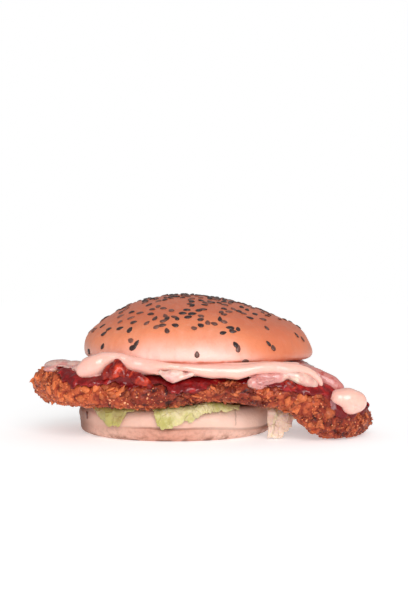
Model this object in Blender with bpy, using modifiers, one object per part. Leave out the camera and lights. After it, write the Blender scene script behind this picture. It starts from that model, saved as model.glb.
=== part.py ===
"""A crumbed chicken burger: bun heel, three lettuce leaves, long fillet, tomato sauce, two melted
cheese slices, mayonnaise, a dollop of the same mayonnaise on the fillet's folded end, and bun crown.

Metres, +Z up. The origin is the middle of the heel's flat underside, on the surface that the burger
stands on. The fillet runs along X, with its raised end at -X and its folded end at +X, and the side
with the drips, the cheese corners and the wide bead of mayonnaise faces -Y.
"""

import math

import bmesh
import bpy
from mathutils import Vector

MM = 0.001
GAP = 0.45 * MM  # clear space between pieces that touch in the real burger

# The bun. The crown's cut face lies level, and its dome leans towards -X.
CROWN_RADIUS = 53.2 * MM
CROWN_BASE = 34.9 * MM
CROWN_HEIGHT = 29.1 * MM
CROWN_LIP = 2.6 * MM
CROWN_MIDDLE = (11.5 * MM, 0.0)
CROWN_LEAN = -0.26  # sideways shift for each unit of height
HEEL_RADIUS = 45.2 * MM
HEEL_RIM = 14.2 * MM  # height of the heel's top rim
HEEL_DISH = 0.6 * MM  # how far the middle of the heel's top is pressed in
HEEL_FOOT = 40.5 * MM  # radius of the flat underside
HEEL_CREASE = 6.4 * MM  # height of the crease round the heel

# The fillet, a pad with a full round rim, laid on the heel.
FILLET_MIDDLE = (12.4 * MM, -6.0 * MM)
FILLET_HALF_LENGTH = 81.5 * MM
FILLET_HALF_WIDTH = 48.0 * MM
FILLET_HEIGHT = 22.6 * MM  # of its middle layer, over the heel
FILLET_HALF_THICKNESS = 6.6 * MM
LEFT_SWELL = 1.4 * MM  # extra half thickness at the raised end
RIGHT_SWELL = 2.6 * MM  # and at the folded end
LEFT_RISE = 3.4 * MM
FRONT_SAG = 1.6 * MM  # of the part that overhangs the heel in front
FOLD_START = (48.0 * MM, -50.0 * MM)
FOLD_HEADING = math.radians(-7)
FOLD_DOWN = 14.0 * MM  # radius of the bend down
FOLD_OUT = 30.0 * MM  # and of the bend back to level
FOLD_SLOPE = math.radians(44)
FOLD_BELLY = 1.5 * MM  # how far the folded end hangs below an even thickness

# What lies on the fillet, as thicknesses.
SAUCE = 1.5 * MM
CHEESE = 0.9 * MM
MAYONNAISE_BEAD = 2.8 * MM
DOLLOP = 3.6 * MM
LETTUCE = 0.55 * MM

# Where the sauce runs down the fillet's front: x, how far round the rim in radians, and width.
FRONT_DRIPS = (
    (-46 * MM, 0.42, 9 * MM),
    (-16 * MM, 0.40, 6 * MM),
    (8 * MM, 0.78, 9 * MM),
    (46 * MM, 0.70, 8 * MM),
    (74 * MM, 0.45, 12 * MM),
)


def ramp(value):
    """0 below 0, 1 above 1, and smooth between."""
    value = min(max(value, 0.0), 1.0)
    return value * value * (3 - 2 * value)


def bump(value, middle, width):
    return math.exp(-(((value - middle) / width) ** 2))


def superellipse(angle, half_x, half_y, power):
    """Distance from the middle of a rounded rectangle to its outline, in a direction."""
    across = (abs(math.cos(angle)) / half_x) ** power
    along = (abs(math.sin(angle)) / half_y) ** power
    return (across + along) ** (-1 / power)


def clear_scene():
    for obj in list(bpy.data.objects):
        bpy.data.objects.remove(obj)


def burger_collection():
    collection = bpy.data.collections.new("chicken_burger")
    bpy.context.scene.collection.children.link(collection)
    return collection


def food_material(name, colour, roughness):
    material = bpy.data.materials.new(name)
    material.use_nodes = True
    shader = material.node_tree.nodes["Principled BSDF"]
    shader.inputs["Base Color"].default_value = (*colour, 1.0)
    shader.inputs["Roughness"].default_value = roughness
    shader.inputs["Metallic"].default_value = 0.0
    return material


def add_piece(collection, name, mesh, material):
    mesh.materials.clear()
    mesh.materials.append(material)
    mesh.shade_smooth()
    piece = bpy.data.objects.new(name, mesh)
    collection.objects.link(piece)
    return piece


# The bun


def turned_mesh(name, profile, steps):
    """A solid of revolution about Z, from a profile of (radius, height) that runs from top to bottom."""
    mesh = bpy.data.meshes.new(name)
    mesh.from_pydata([(r, 0, z) for r, z in profile], [(i, i + 1) for i in range(len(profile) - 1)], [])
    blank = bpy.data.objects.new(name, mesh)
    bpy.context.scene.collection.objects.link(blank)
    screw = blank.modifiers.new("turn", "SCREW")
    screw.axis = "Z"
    screw.steps = steps
    screw.render_steps = steps
    screw.use_merge_vertices = True
    screw.merge_threshold = 0.0001
    graph = bpy.context.evaluated_depsgraph_get()
    turned = bpy.data.meshes.new_from_object(blank.evaluated_get(graph))
    bpy.data.objects.remove(blank)
    turned.name = name
    return turned


def crown_profile():
    """The dome, its lip, which rolls in to the cut face, and the flat cut face."""
    dome = []
    for share in (1.0, 0.98, 0.93, 0.86, 0.76, 0.64, 0.50, 0.36, 0.22):
        radius = CROWN_RADIUS * (1 - share**2.3) ** 0.6
        dome.append((radius, CROWN_BASE + share * CROWN_HEIGHT))
    lip = []
    for turn in (0, 30, 60, 90):
        radius = CROWN_RADIUS - CROWN_LIP * (1 - math.cos(math.radians(turn)))
        lip.append((radius, CROWN_BASE + CROWN_LIP * (1 - math.sin(math.radians(turn)))))
    return dome + lip + [(CROWN_RADIUS / 2, CROWN_BASE), (0, CROWN_BASE)]


def make_crown(collection):
    mesh = turned_mesh("bun_crown", crown_profile(), 40)
    for vertex in mesh.vertices:
        point = vertex.co
        angle = math.atan2(point.y, point.x)
        uneven = 1 + 0.007 * math.sin(2 * angle + 0.5) + 0.005 * math.sin(3 * angle + 2)
        point.x = point.x * uneven + CROWN_LEAN * (point.z - CROWN_BASE) + CROWN_MIDDLE[0]
        point.y = point.y * uneven + CROWN_MIDDLE[1]
    add_piece(collection, "bun_crown", mesh, food_material("baked_bun", (0.78, 0.36, 0.17), 0.5))


def heel_profile():
    """A pressed-in top, a round upper roll, the crease, a round lower roll and the flat underside."""
    crease = HEEL_RADIUS - 1.5 * MM
    return [
        (0, HEEL_RIM - HEEL_DISH),
        (HEEL_RADIUS * 0.6, HEEL_RIM - HEEL_DISH),
        (HEEL_RADIUS - 4.4 * MM, HEEL_RIM),
        (HEEL_RADIUS - 2.0 * MM, HEEL_RIM - 0.9 * MM),
        (HEEL_RADIUS - 0.4 * MM, HEEL_RIM - 2.8 * MM),
        (HEEL_RADIUS - 0.1 * MM, HEEL_RIM - 4.6 * MM),
        (HEEL_RADIUS - 0.7 * MM, HEEL_CREASE + 1.0 * MM),
        (crease, HEEL_CREASE),
        (HEEL_RADIUS - 0.6 * MM, HEEL_CREASE - 1.1 * MM),
        (HEEL_RADIUS - 0.4 * MM, HEEL_CREASE - 2.8 * MM),
        (HEEL_RADIUS - 1.6 * MM, HEEL_CREASE - 5.1 * MM),
        (HEEL_FOOT, 0),
        (0, 0),
    ]


def make_heel(collection):
    mesh = turned_mesh("bun_heel", heel_profile(), 40)
    add_piece(collection, "bun_heel", mesh, food_material("pale_bun", (0.80, 0.50, 0.34), 0.6))


# The fillet, and the skin coordinates that everything on it is laid in


def fillet_outline(angle):
    uneven = 1 + 0.012 * math.sin(5 * angle + 2.0) + 0.02 * math.sin(3 * angle + 0.7)
    uneven += 0.06 * bump(angle, math.radians(-32), 0.35) - 0.08 * bump(angle, math.radians(30), 0.45)
    return superellipse(angle, FILLET_HALF_LENGTH, FILLET_HALF_WIDTH, 2.4) * uneven


def half_thickness(x):
    left = LEFT_SWELL * ramp((-36 * MM - x) / (28 * MM))
    right = RIGHT_SWELL * ramp((x - 45 * MM) / (28 * MM))
    return FILLET_HALF_THICKNESS + left + right


def fold(reach):
    """How far along, how far down and how steep the fillet's middle layer is, `reach` past the fold."""
    first = min(max(reach / FOLD_DOWN, 0.0), FOLD_SLOPE)
    second = min(max((reach - FOLD_DOWN * FOLD_SLOPE) / FOLD_OUT, 0.0), FOLD_SLOPE)
    level = min(reach, 0.0) + max(reach - (FOLD_DOWN + FOLD_OUT) * FOLD_SLOPE, 0.0)
    late = FOLD_SLOPE - second
    along = FOLD_DOWN * math.sin(first) + FOLD_OUT * (math.sin(FOLD_SLOPE) - math.sin(late)) + level
    down = FOLD_DOWN * (1 - math.cos(first)) + FOLD_OUT * (math.cos(late) - math.cos(FOLD_SLOPE))
    return along, down, first - second


def laid(x, y, up):
    """Where a point `up` above the middle layer goes once the fillet is laid on the heel."""
    rise = LEFT_RISE * ramp((-34 * MM - x) / (50 * MM))
    swing = (0.15 + 0.85 * ramp((abs(x - CROWN_MIDDLE[0]) - 40 * MM) / (25 * MM))) * MM
    wave = swing * math.sin(x / (10 * MM) + 0.6) * math.cos(y / (16 * MM))
    ahead = Vector((math.cos(FOLD_HEADING), math.sin(FOLD_HEADING)))
    reach = (Vector((x, y)) - Vector(FOLD_START)).dot(ahead)
    along, down, slope = fold(reach)
    if up < 0:
        up += FOLD_BELLY * bump(reach, 20 * MM, 10 * MM) * up / half_thickness(x)
    moved = Vector((x, y)) + ahead * (along - reach + up * math.sin(slope))
    sag = FRONT_SAG * ramp((-36 * MM - y) / (14 * MM))
    height = FILLET_HEIGHT + rise + wave - sag - down + up * math.cos(slope)
    return Vector((moved.x, moved.y, height))


def rim_start(angle):
    """How far the fillet's flat top reaches in a direction, and the radius of its round rim there."""
    outline = fillet_outline(angle)
    radius = half_thickness(FILLET_MIDDLE[0] + outline * math.cos(angle))
    return outline - radius, radius


def skin(x, y, lift=0.0):
    """The point `lift` above the fillet's skin. The skin is measured as if peeled off flat, so that
    x and y past the edge of the top go on round the rim and then under the fillet."""
    east, north = x - FILLET_MIDDLE[0], y - FILLET_MIDDLE[1]
    reach, angle = math.hypot(east, north), math.atan2(north, east)
    edge, radius = rim_start(angle)
    turn = (reach - edge) / radius
    if turn < 0 or turn > math.pi:
        flat = reach if turn < 0 else max(2 * edge + math.pi * radius - reach, 0.0)
        here = half_thickness(FILLET_MIDDLE[0] + flat * math.cos(angle))
        up = here + (radius - here) * (flat / edge) ** 4 + lift
        up = up if turn < 0 else -up
    else:
        flat = edge + (radius + lift) * math.sin(turn)
        up = (radius + lift) * math.cos(turn)
    return laid(FILLET_MIDDLE[0] + flat * math.cos(angle), FILLET_MIDDLE[1] + flat * math.sin(angle), up)


def shaped_ball(name, segments, rings, place, turn=0.0, crowding=0.0):
    """A closed mesh made from a ball. place(direction, share, level) gives each point: its direction
    and its share of the way out from the middle, and its level from 1, on top, to -1, underneath. The
    points lie closest round the rim, and crowding brings them together at the two ends as well. Top and
    underside have the same diagonals, so that a layer's underside nests on the piece below it."""
    bm = bmesh.new()
    bmesh.ops.create_uvsphere(bm, u_segments=segments, v_segments=rings, radius=1.0)
    upper = [face for face in bm.faces if face.calc_center_median().z > 0]
    lower = [face for face in bm.faces if face.calc_center_median().z <= 0]
    bmesh.ops.triangulate(bm, faces=upper, quad_method="FIXED")
    bmesh.ops.triangulate(bm, faces=lower, quad_method="ALTERNATE")
    for vertex in bm.verts:
        azimuth = math.atan2(vertex.co.y, vertex.co.x)
        level = math.asin(min(max(vertex.co.z, -1.0), 1.0)) / (math.pi / 2)
        direction = azimuth + turn - crowding * math.sin(2 * azimuth)
        vertex.co = place(direction, 1 - level**2, level)
    mesh = bpy.data.meshes.new(name)
    bm.to_mesh(mesh)
    bm.free()
    return mesh


def make_fillet(collection):
    def place(direction, share, level):
        edge, radius = rim_start(direction)
        reach = (edge + radius * math.pi / 2) * share
        if level < 0:
            reach = 2 * edge + math.pi * radius - reach
        x = FILLET_MIDDLE[0] + reach * math.cos(direction)
        return skin(x, FILLET_MIDDLE[1] + reach * math.sin(direction))

    mesh = shaped_ball("chicken_fillet", 48, 24, place, crowding=0.2)
    add_piece(collection, "chicken_fillet", mesh, food_material("crumb", (0.46, 0.14, 0.05), 0.7))


# The layers on the fillet


def pad_mesh(name, middle, outline, lifts, segments, rings, limit=None, **spacing):
    """A layer with a rounded edge, laid in skin coordinates round a middle. outline(direction, share)
    is how far out it is at a share of its way out, lifts are its inner and outer distance from the
    skin, and limit(point, level) corrects its points."""
    inner, outer = lifts
    centre, half = (inner + outer) / 2, (outer - inner) / 2

    def place(direction, share, level):
        reach = outline(direction, share)
        lift = centre + math.copysign(half * (1 - share**6) ** 0.5, level)
        point = skin(middle[0] + reach * math.cos(direction), middle[1] + reach * math.sin(direction), lift)
        return limit(point, level) if limit else point

    return shaped_ball(name, segments, rings, place, **spacing)


def sauce_reach(direction, share):
    """The sauce's points keep over the fillet's, and leave them only near its own edge."""
    edge, radius = rim_start(direction)
    x = FILLET_MIDDLE[0] + (edge + radius) * math.cos(direction)
    if math.sin(direction) < 0:
        turn = 0.95 + sum(deep * bump(x, at, wide) for at, deep, wide in FRONT_DRIPS)
    else:
        turn = 0.95 + 0.3 * math.sin(x / (7 * MM)) * math.sin(direction)
    turn -= 0.75 * ramp((-44 * MM - x) / (16 * MM))
    return (edge + radius * math.pi / 2) * share + radius * (turn - math.pi / 2) * share**6


def make_sauce(collection):
    lifts = (1.5 * GAP, GAP + SAUCE)
    mesh = pad_mesh("tomato_sauce", FILLET_MIDDLE, sauce_reach, lifts, 48, 24, crowding=0.2)
    add_piece(collection, "tomato_sauce", mesh, food_material("tomato", (0.42, 0.04, 0.03), 0.25))


def make_cheese(collection, name, middle, half_sides, turn):
    """A slice, melted so that its corners round off and hang where they pass the fillet's edge."""
    inner = 2.5 * GAP + SAUCE
    mesh = pad_mesh(
        name,
        middle,
        lambda direction, share: superellipse(direction - turn, *half_sides, 5.0) * share,
        (inner, inner + CHEESE),
        28,
        14,
        turn=turn,
    )
    add_piece(collection, name, mesh, food_material("melted_" + name, (0.80, 0.66, 0.56), 0.3))


def mayonnaise_reach(direction, share):
    front = math.sin(direction) < 0
    body = superellipse(direction, 48.5 * MM, (53.4 if front else 39.0) * MM, 2.6)
    left_end = 13.0 * MM * bump(direction, math.radians(-137), math.radians(13))
    right_end = 7.0 * MM * bump(direction, math.radians(-45), math.radians(12))
    return (body + left_end + right_end) * share


def under_crown(point, level):
    """Keeps a point below the crown's cut face and outside its lip, with some thickness left."""
    out = math.hypot(point.x - CROWN_MIDDLE[0], point.y - CROWN_MIDDLE[1])
    ceiling = CROWN_BASE - GAP + 0.4 * max(out - CROWN_RADIUS - 2.0 * MM, 0.0)
    if level < 0:
        ceiling -= 0.4 * MM
    return Vector((point.x, point.y, min(point.z, ceiling)))


def make_mayonnaise(collection):
    inner = 3.7 * GAP + SAUCE + CHEESE
    paste = food_material("mayonnaise", (0.93, 0.66, 0.54), 0.2)
    lifts = (inner, inner + MAYONNAISE_BEAD)
    ribbon = pad_mesh("mayonnaise_ribbon", CROWN_MIDDLE, mayonnaise_reach, lifts, 44, 14, under_crown)
    add_piece(collection, "mayonnaise_ribbon", ribbon, paste)

    inner = 2 * GAP + SAUCE
    dollop = pad_mesh(
        "mayonnaise_dollop",
        (76.0 * MM, -35.0 * MM),
        lambda direction, share: superellipse(direction, 9.2 * MM, 6.4 * MM, 2.3) * share,
        (inner, inner + DOLLOP),
        18,
        8,
    )
    add_piece(collection, "mayonnaise_dollop", dollop, paste)


# The lettuce


def over_rim(out, rim):
    """Where a leaf that has run `out` past the place where it turns down is: how far out, and how high.
    It keeps level, rolls over and hangs."""
    roll = 3.2 * MM
    if out < -roll:
        return out, rim
    turn = min((out + roll) / roll, math.pi / 2)
    hang = max(out + roll - roll * math.pi / 2, 0.0)
    return -roll + roll * math.sin(turn), rim - roll * (1 - math.cos(turn)) - hang


def make_leaf(collection, name, base, heading, half_width, hangs, root, colour, ledge=0.0, spread=0.0):
    """A leaf that runs through the burger along a heading. hangs gives, for a place across it from -1
    to 1, how far it hangs once it is `ledge` past the heel's rim, and it spreads out as it falls. At its
    other end it stops `root` behind base."""
    ahead = Vector((math.cos(heading), math.sin(heading)))
    aside = Vector((-ahead.y, ahead.x))
    rim_radius = HEEL_RADIUS + 1.0 * MM
    bm = bmesh.new()
    bmesh.ops.create_grid(bm, x_segments=14, y_segments=4, size=1.0)
    for vertex in bm.verts:
        along, across = (vertex.co.x + 1) / 2, vertex.co.y
        side = across * half_width
        start = Vector(base) + aside * side
        to_rim = ledge - start.dot(ahead) + math.sqrt(
            max(start.dot(ahead) ** 2 - start.length_squared + rim_radius**2, 0.0)
        )
        reach = -root + (to_rim + hangs(across) + root) * along**0.8
        out, height = over_rim(reach - to_rim, HEEL_RIM + GAP + LETTUCE / 2)
        fallen = max(HEEL_RIM - height, 0.0)
        spot = start + ahead * (to_rim + out + spread * fallen)
        vertex.co = (spot.x, spot.y, height)
    mesh = bpy.data.meshes.new(name)
    bm.to_mesh(mesh)
    bm.free()
    leaf = add_piece(collection, name, mesh, food_material(name, colour, 0.45))
    shell = leaf.modifiers.new("thickness", "SOLIDIFY")
    shell.thickness = LETTUCE
    shell.offset = 0.0


def make_lettuce(collection):
    front = math.radians(-90)
    green, ivory = (0.62, 0.60, 0.22), (0.80, 0.68, 0.48)
    make_leaf(
        collection,
        "lettuce_left",
        (-25.0 * MM, 0),
        front,
        9.5 * MM,
        lambda across: (6.8 - 2.4 * across * across) * MM,
        34 * MM,
        green,
    )
    make_leaf(
        collection,
        "lettuce_middle",
        (8.7 * MM, 0),
        front,
        18.0 * MM,
        lambda across: (3.6 - 3.0 * across) * MM,
        41 * MM,
        green,
    )
    make_leaf(
        collection,
        "lettuce_right",
        (41.0 * MM, -16.0 * MM),
        math.radians(-56),
        8.7 * MM,
        lambda across: (12.6 + 0.5 * across) * MM,
        10 * MM,
        ivory,
        ledge=11 * MM,
        spread=0.3,
    )


def build():
    clear_scene()
    collection = burger_collection()
    make_heel(collection)
    make_lettuce(collection)
    make_fillet(collection)
    make_sauce(collection)
    make_cheese(
        collection, "cheese_left", (-15.0 * MM, -15.0 * MM), (33.5 * MM, 33.5 * MM), math.radians(-27)
    )
    make_cheese(
        collection, "cheese_right", (47.3 * MM, -25.5 * MM), (29.0 * MM, 16.5 * MM), math.radians(43)
    )
    make_mayonnaise(collection)
    make_crown(collection)


build()
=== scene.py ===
"""A chicken burger made to look like food: a seeded bun, a fillet in craggy crumb that folds down over
the bun's right side, tomato sauce, melted cheese, mayonnaise and lettuce."""

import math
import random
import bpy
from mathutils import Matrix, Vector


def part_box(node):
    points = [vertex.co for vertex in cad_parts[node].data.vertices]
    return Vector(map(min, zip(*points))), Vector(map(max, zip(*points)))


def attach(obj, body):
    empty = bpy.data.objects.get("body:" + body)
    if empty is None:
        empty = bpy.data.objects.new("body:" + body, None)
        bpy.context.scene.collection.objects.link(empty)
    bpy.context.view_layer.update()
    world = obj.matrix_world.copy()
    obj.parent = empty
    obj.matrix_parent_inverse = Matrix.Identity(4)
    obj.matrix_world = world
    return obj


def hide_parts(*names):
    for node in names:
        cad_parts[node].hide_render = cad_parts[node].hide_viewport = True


bl_info = {
    "name": "Chicken burger",
    "version": (1, 0, 0),
    "blender": (4, 5, 0),
    "location": "3D View > Sidebar > Burger",
    "description": "Dresses the packed burger in its crust, crumb, sauces, cheese and lettuce",
    "category": "Object",
}

import bmesh
import bpy
from bpy.props import FloatProperty, FloatVectorProperty, IntProperty, PointerProperty
from mathutils import Matrix, Vector, noise
from mathutils.bvhtree import BVHTree

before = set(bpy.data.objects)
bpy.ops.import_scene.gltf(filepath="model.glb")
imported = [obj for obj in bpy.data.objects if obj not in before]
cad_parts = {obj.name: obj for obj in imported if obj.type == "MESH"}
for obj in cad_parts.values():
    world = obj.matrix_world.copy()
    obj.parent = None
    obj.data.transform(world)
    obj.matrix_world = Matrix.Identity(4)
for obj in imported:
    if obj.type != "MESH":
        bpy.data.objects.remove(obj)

MM = 0.001
CROWN_LOW, CROWN_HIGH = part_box("bun_crown")
HEEL_LOW, HEEL_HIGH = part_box("bun_heel")
FILLET_LOW, FILLET_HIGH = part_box("chicken_fillet")


# Settings


def length(name, description, millimetres):
    """A size setting, given here in millimetres."""
    return FloatProperty(
        name=name,
        description=description,
        default=millimetres * MM,
        min=0,
        precision=5,
        subtype="DISTANCE",
        unit="LENGTH",
    )


def share(name, description, value):
    """A setting from 0 to 1."""
    return FloatProperty(name=name, description=description, default=value, min=0, max=1, subtype="FACTOR")


def count(name, description, value):
    """A setting that says how many there are."""
    return IntProperty(name=name, description=description, default=value, min=0)


def linear(part):
    """A colour's part from 0 to 255 on a screen, as light."""
    part = part / 255
    return part / 12.92 if part <= 0.04045 else ((part + 0.055) / 1.055) ** 2.4


def colour(name, description, *parts):
    """A colour setting, given here as red, green and blue from 0 to 255."""
    return FloatVectorProperty(
        name=name,
        description=description,
        default=[linear(part) for part in parts],
        size=3,
        min=0,
        max=1,
        subtype="COLOR",
    )


class CrownSettings(bpy.types.PropertyGroup):
    skin: length("Skin", "Size of the faces of the crust", 0.9)
    dents: length("Dents", "Depth of the slow dents in the crust", 0.35)
    baked: colour("Baked", "Colour of the well baked top", 208, 108, 72)
    golden: colour("Golden", "Colour half way down", 232, 136, 94)
    pale: colour("Pale", "Colour of the soft low edge", 243, 190, 177)


class SeedSettings(bpy.types.PropertyGroup):
    length: length("Length", "Length of a sesame seed", 3.6)
    width: length("Width", "Width of a sesame seed", 2.3)
    thickness: length("Thickness", "Thickness of a sesame seed", 0.95)
    strewn: count("Strewn", "Seeds strewn over the rest of the crown", 190)
    dark: colour("Dark", "Colour of the dark seeds", 44, 28, 28)
    brown: colour("Brown", "Colour of the brown seeds", 128, 80, 66)


class HeelSettings(bpy.types.PropertyGroup):
    skin: length("Skin", "Size of the faces of the heel", 0.7)
    crease: length("Crease", "Height of the crease round the heel", 6.4)
    crumb: colour("Crumb", "Colour above the crease", 222, 179, 161)
    crust: colour("Crust", "Colour below the crease", 204, 146, 126)
    # Painted light: a paler tone for the heel's right side, against the shade of the fillet's overhang.
    painted_light_tone: colour("Painted_light", "Colour of the pale lightening on the right", 250, 222, 206)
    # The scorched colour serves the real scorched spots, crack and crease, and also painted shade at the heel's far
    # left.
    scorched_and_shade: colour("Scorched", "Colour of the scorched spots", 120, 68, 44)


class FilletSettings(bpy.types.PropertyGroup):
    skin: length("Skin", "Size of the faces of the crumb coat", 0.64)
    lump: length("Lump", "Size of the lumps in the coat", 3.6)
    depth: length("Depth", "How far the lumps stand up", 1.5)
    golden: colour("Golden", "Colour of the raised crumb", 192, 88, 50)
    brown: colour("Brown", "Colour of the coat between", 138, 46, 26)
    # The dark crevice colour is painted shade.
    dark: colour("Dark", "Colour of the crevices", 66, 22, 22)


class FlakeSettings(bpy.types.PropertyGroup):
    flakes: count("Flakes", "Crumb flakes on the coat", 1300)
    grains: count("Grains", "Fine crumb grains on the coat", 7000)
    flake: length("Flake", "Length of a middling flake", 4.2)
    grain: length("Grain", "Size of a middling grain", 1.1)
    light: colour("Light", "Colour of the lightest crumb", 224, 118, 68)
    deep: colour("Deep", "Colour of the darkest crumb", 106, 34, 20)
    # The pale grains are partly pale crumb, partly painted glints.
    pale: colour("Pale", "Colour of the few pale grains", 244, 172, 128)


class SauceSettings(bpy.types.PropertyGroup):
    skin: length("Skin", "Size of the faces of the sauce", 0.62)
    lumps: count("Lumps", "Lumps of pulp in the sauce", 1500)
    lump: length("Lump", "Size of the largest lumps of pulp", 3.6)
    deep: colour("Deep", "Colour of the thick sauce", 108, 6, 10)
    bright: colour("Bright", "Colour of the thin sauce and pulp", 182, 34, 32)
    tomato: colour("Tomato", "Colour of the tomato pieces", 208, 66, 38)


class CheeseSettings(bpy.types.PropertyGroup):
    skin: length("Skin", "Size of the faces of the cheese", 0.5)
    milky: colour("Milky", "Colour of the cheese", 232, 208, 190)
    clear: colour("Clear", "Colour where the cheese is thin and shows what is below", 206, 140, 134)
    stained: colour("Stained", "Colour where sauce has run over the cheese", 168, 62, 54)


class MayonnaiseSettings(bpy.types.PropertyGroup):
    skin: length("Skin", "Size of the faces of the mayonnaise", 0.5)
    cream: colour("Cream", "Colour of the mayonnaise", 240, 182, 169)


class LettuceSettings(bpy.types.PropertyGroup):
    thickness: length("Thickness", "Thickness of a leaf", 0.4)
    mesh: length("Mesh", "Size of the faces of a leaf", 0.45)
    ruffle: length("Ruffle", "Height of the ruffles in a leaf", 1.1)
    green: colour("Green", "Colour of the darkest leaf", 132, 118, 56)
    olive: colour("Olive", "Colour of the darkest leaf where it is bright", 176, 158, 96)
    lime: colour("Lime", "Colour of the bright leaf", 182, 174, 98)
    rib: colour("Rib", "Colour of the ribs", 214, 200, 152)
    cream: colour("Cream", "Colour of the pale leaf where it is bright", 232, 206, 188)
    ivory: colour("Ivory", "Colour of the pale inner leaf", 218, 178, 160)


class StageSettings(bpy.types.PropertyGroup):
    floor: colour("Floor", "Colour of the floor", 240, 240, 240)
    radius: length("Floor radius", "Radius of the floor", 3000)
    focal_length: FloatProperty(
        name="Focal length", description="Focal length of the camera in millimetres", default=75.1, min=1
    )
    key: FloatProperty(name="Key light", description="Strength of the key light", default=2.1, min=0)
    front: FloatProperty(name="Front light", description="Power of the low front light", default=1.0, min=0, unit="POWER")
    fill: FloatProperty(name="Fill light", description="Strength of the light from all round", default=0.42, min=0)


class BurgerSettings(bpy.types.PropertyGroup):
    crown: PointerProperty(type=CrownSettings)
    seeds: PointerProperty(type=SeedSettings)
    heel: PointerProperty(type=HeelSettings)
    fillet: PointerProperty(type=FilletSettings)
    flakes: PointerProperty(type=FlakeSettings)
    sauce: PointerProperty(type=SauceSettings)
    cheese: PointerProperty(type=CheeseSettings)
    mayonnaise: PointerProperty(type=MayonnaiseSettings)
    lettuce: PointerProperty(type=LettuceSettings)
    stage: PointerProperty(type=StageSettings)


# Finishes


class Tone:
    """What a node in a finish gives, with plain arithmetic between tones and numbers."""

    def __init__(self, finish, socket):
        self.finish = finish
        self.socket = socket

    def __add__(self, other):
        return self.finish.maths("ADD", self, other)

    def __radd__(self, other):
        return self.finish.maths("ADD", other, self)

    def __sub__(self, other):
        return self.finish.maths("SUBTRACT", self, other)

    def __rsub__(self, other):
        return self.finish.maths("SUBTRACT", other, self)

    def __mul__(self, other):
        return self.finish.maths("MULTIPLY", self, other)

    def __rmul__(self, other):
        return self.finish.maths("MULTIPLY", other, self)

    def __truediv__(self, other):
        return self.finish.maths("DIVIDE", self, other)

    def __rtruediv__(self, other):
        return self.finish.maths("DIVIDE", other, self)

    def __pow__(self, other):
        return self.finish.maths("POWER", self, other)

    def __neg__(self):
        return self.finish.maths("MULTIPLY", self, -1.0)


class Finish:
    """A material made node by node. Its places are in millimetres."""

    def __init__(self, name):
        self.material = bpy.data.materials.new(name)
        self.material.use_nodes = True
        self.tree = self.material.node_tree
        self.tree.nodes.clear()
        metres = self.node("ShaderNodeTexCoord", output="Object")
        self.place = self.vectors("SCALE", metres, scale=1 / MM)
        parts = self.node("ShaderNodeSeparateXYZ", sockets={0: self.place})
        self.across, self.deep, self.height = (Tone(self, parts.socket.node.outputs[n]) for n in range(3))

    def node(self, kind, settings=None, sockets=None, output=0):
        """Adds a node: its type, then its settings, then the values or links of its sockets."""
        node = self.tree.nodes.new(kind)
        for setting, value in (settings or {}).items():
            setattr(node, setting, value)
        for socket, value in (sockets or {}).items():
            self.feed(node.inputs[socket], value)
        return Tone(self, node.outputs[output]) if node.outputs else None

    def feed(self, socket, value):
        """Gives a socket a link or a value."""
        if isinstance(value, Tone):
            self.tree.links.new(value.socket, socket)
        elif socket.type == "RGBA":
            socket.default_value = (value[0], value[1], value[2], 1.0)
        else:
            socket.default_value = value

    def maths(self, operation, first, second=0.0):
        return self.node("ShaderNodeMath", {"operation": operation}, {0: first, 1: second})

    def vectors(self, operation, first, second=(0, 0, 0), scale=1.0, output=0):
        sockets = {0: first, "Scale": scale} if operation == "SCALE" else {0: first, 1: second}
        return self.node("ShaderNodeVectorMath", {"operation": operation}, sockets, output)

    def clouds(self, size, detail=3.0, roughness=0.55, twist=0.0, place=None):
        """Soft noise with blotches of that size, from 0 to 1."""
        sockets = {
            "Vector": place or self.place,
            "Scale": 1 / size,
            "Detail": detail,
            "Roughness": roughness,
            "Distortion": twist,
        }
        return self.node("ShaderNodeTexNoise", sockets=sockets)

    def cells(self, size, feature="F1", place=None):
        """The distance to the middle or the edge of cells of that size."""
        sockets = {"Vector": place or self.place, "Scale": 1 / size}
        return self.node("ShaderNodeTexVoronoi", {"feature": feature}, sockets)

    def stretched(self, x, y, z):
        """The places, drawn out or pressed together along each axis."""
        return self.vectors("MULTIPLY", self.place, (x, y, z))

    def rise(self, value, low, high):
        """0 below low, 1 above high and smooth between."""
        settings = {"interpolation_type": "SMOOTHSTEP", "clamp": True}
        return self.node("ShaderNodeMapRange", settings, {0: value, 1: low, 2: high, 3: 0.0, 4: 1.0})

    def near(self, x, z, size, height=None):
        """1 at a spot on the front, fading to 0 at `size` from it. height is the size upwards."""
        flat = (self.across - x) / size
        up = (self.height - z) / (height or size)
        return self.rise(flat * flat + up * up, 1.0, 0.0)

    def blend(self, factor, first, second, how="MIX"):
        """The first colour at 0 and the second at 1."""
        settings = {"data_type": "RGBA", "blend_type": how, "clamp_factor": True}
        return self.node("ShaderNodeMix", settings, {0: factor, 6: first, 7: second}, 2)

    def bump(self, height, depth, below=None):
        """A normal for a surface whose height goes up by depth millimetres from 0 to 1."""
        sockets = {"Strength": 1.0, "Distance": depth * MM, "Height": height}
        if below:
            sockets["Normal"] = below
        return self.node("ShaderNodeBump", sockets=sockets)

    def attribute(self, name):
        """A number kept in the mesh at each of its points."""
        settings = {"attribute_name": name, "attribute_type": "GEOMETRY"}
        return self.node("ShaderNodeAttribute", settings, output="Fac")

    def each(self):
        """A number from 0 to 1 that differs from one loose bit of a mesh to the next."""
        return self.node("ShaderNodeNewGeometry", output="Random Per Island")

    def shine(self, base, roughness, normal=None, **fixed):
        """Ends the finish: its colour, roughness and normal, and the values that are the same all over."""
        sockets = {"Base Color": base, "Roughness": roughness}
        if normal:
            sockets["Normal"] = normal
        for name, value in fixed.items():
            sockets[name.replace("_", " ").title().replace("Ior", "IOR")] = value
        shader = self.node("ShaderNodeBsdfPrincipled", sockets=sockets)
        self.node("ShaderNodeOutputMaterial", sockets={"Surface": shader})
        return self.material


# Shapes


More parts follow.
